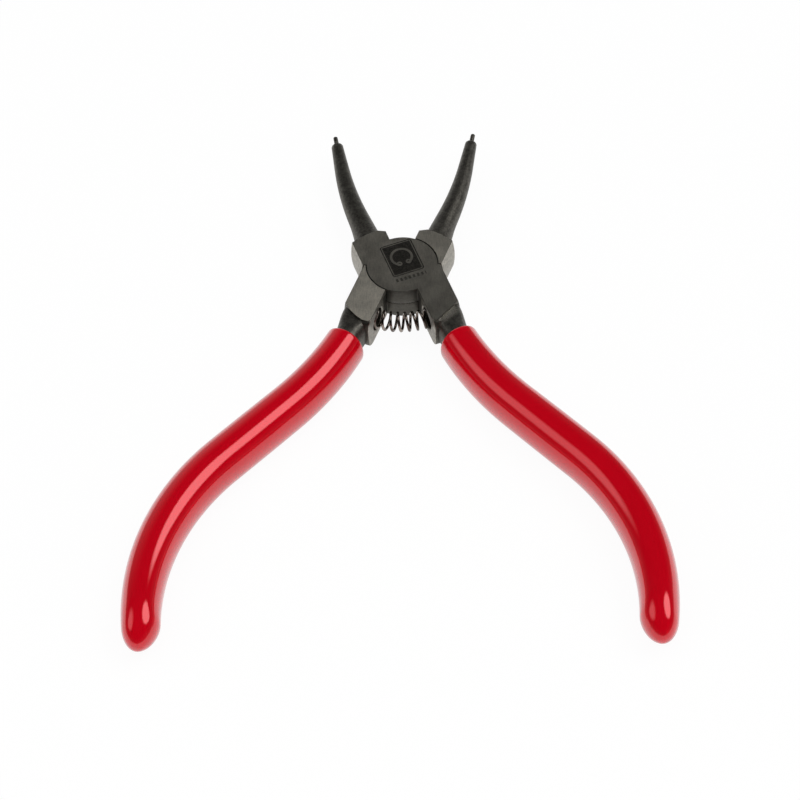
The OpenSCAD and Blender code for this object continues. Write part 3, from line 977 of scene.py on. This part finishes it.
# Floor, which the grips lie on, with its glow to the camera and in reflections
FLOOR_HEIGHT = (HALF - GRIP_THICKNESS / 2) * MM
FLOOR_REACH = 3.0
FLOOR_WHITE = 0.92
SEEN_GLOW = 0.95
MIRRORED_GLOW = 0.6
floor_mesh = bpy.data.meshes.new("floor")
bm = bmesh.new()
bmesh.ops.create_grid(bm, x_segments=1, y_segments=1, size=FLOOR_REACH)
bmesh.ops.translate(bm, vec=(0, 0, FLOOR_HEIGHT), verts=bm.verts)
bm.to_mesh(floor_mesh)
bm.free()
floor = bpy.data.objects.new("floor", floor_mesh)
bpy.context.scene.collection.objects.link(floor)
paper = bpy.data.materials.new("paper")
nodes = Nodes(paper)
by_eye = nodes.add("ShaderNodeLightPath", output="Is Camera Ray")
mirrored = nodes.add("ShaderNodeLightPath", output="Is Glossy Ray")
shade = nodes.add("ShaderNodeBsdfDiffuse", {}, {"Color": (FLOOR_WHITE, FLOOR_WHITE, FLOOR_WHITE, 1)})
glow = nodes.add("ShaderNodeEmission", {}, {"Color": (1, 1, 1, 1), "Strength": 1.0})
glowing = by_eye * SEEN_GLOW + mirrored * MIRRORED_GLOW
sheet = nodes.add("ShaderNodeMixShader", {}, {0: glowing, 1: shade, 2: glow})
nodes.feed(nodes.tree.nodes["Material Output"].inputs["Surface"], sheet)
floor_mesh.materials.append(paper)

# World: white behind the object, pale at the horizon, dark overhead, with soft lights on both sides and behind
HORIZON = 0.75
HORIZON_STEP = (0.12, -0.1)
HAZE = 0.1
HAZE_STEP = (0.6, 0.0)
OVERHEAD = 0.012
SOFT_LIGHTS = (
    # Azimuth from +Y towards +X, height, full and outer half angle in degrees, brightness
    (78, 51, 17, 24, 2.6),
    (-91, 42, 11, 24, 1.05),
    (-15, 14, 4, 42, 0.35),
)
world = bpy.data.worlds.new("studio")
bpy.context.scene.world = world
nodes = Nodes(world)
direction = nodes.add("ShaderNodeTexCoord", output="Generated")
height = nodes.axis(direction, 2)
camera_ray = nodes.add("ShaderNodeLightPath", output="Is Camera Ray")
strength = height.ramp(*HORIZON_STEP) * HORIZON + height.ramp(*HAZE_STEP) * HAZE + OVERHEAD
for azimuth, elevation, inner, outer, brightness in SOFT_LIGHTS:
    azimuth, elevation = math.radians(azimuth), math.radians(elevation)
    axis = (math.sin(azimuth) * math.cos(elevation), math.cos(azimuth) * math.cos(elevation),
            math.sin(elevation))
    away = nodes.add("ShaderNodeVectorMath", {"operation": "DOT_PRODUCT"}, {0: direction, 1: axis}, "Value")
    strength = strength + away.angle().ramp(math.radians(outer), math.radians(inner)) * brightness
background = nodes.tree.nodes["Background"]
background.inputs["Color"].default_value = (1, 1, 1, 1)
nodes.feed(background.inputs["Strength"], camera_ray + (1.0 - camera_ray) * strength)


def fill_light(name, place, size, brightness):
    """Even light on the colours from a square card, not mirrored by the gloss."""
    card = bpy.data.lights.new(name, "AREA")
    card.size = size
    card.energy = brightness * math.pi * size ** 2
    made = bpy.data.objects.new(name, card)
    aim = (Vector(place) - CAMERA_TARGET).normalized()
    made.matrix_world = Matrix.Translation(place) @ aim.to_track_quat("Z", "Y").to_matrix().to_4x4()
    made.visible_glossy = False
    bpy.context.scene.collection.objects.link(made)


fill_light("ceiling", place=(0.0, -0.03, 1.3), size=2.0, brightness=1.25)
fill_light("card_right", place=(0.50, -0.53, 0.16), size=0.42, brightness=3.0)
fill_light("card_left", place=(-0.50, -0.53, 0.16), size=0.42, brightness=3.0)

bpy.context.scene.view_settings.view_transform = "Standard"
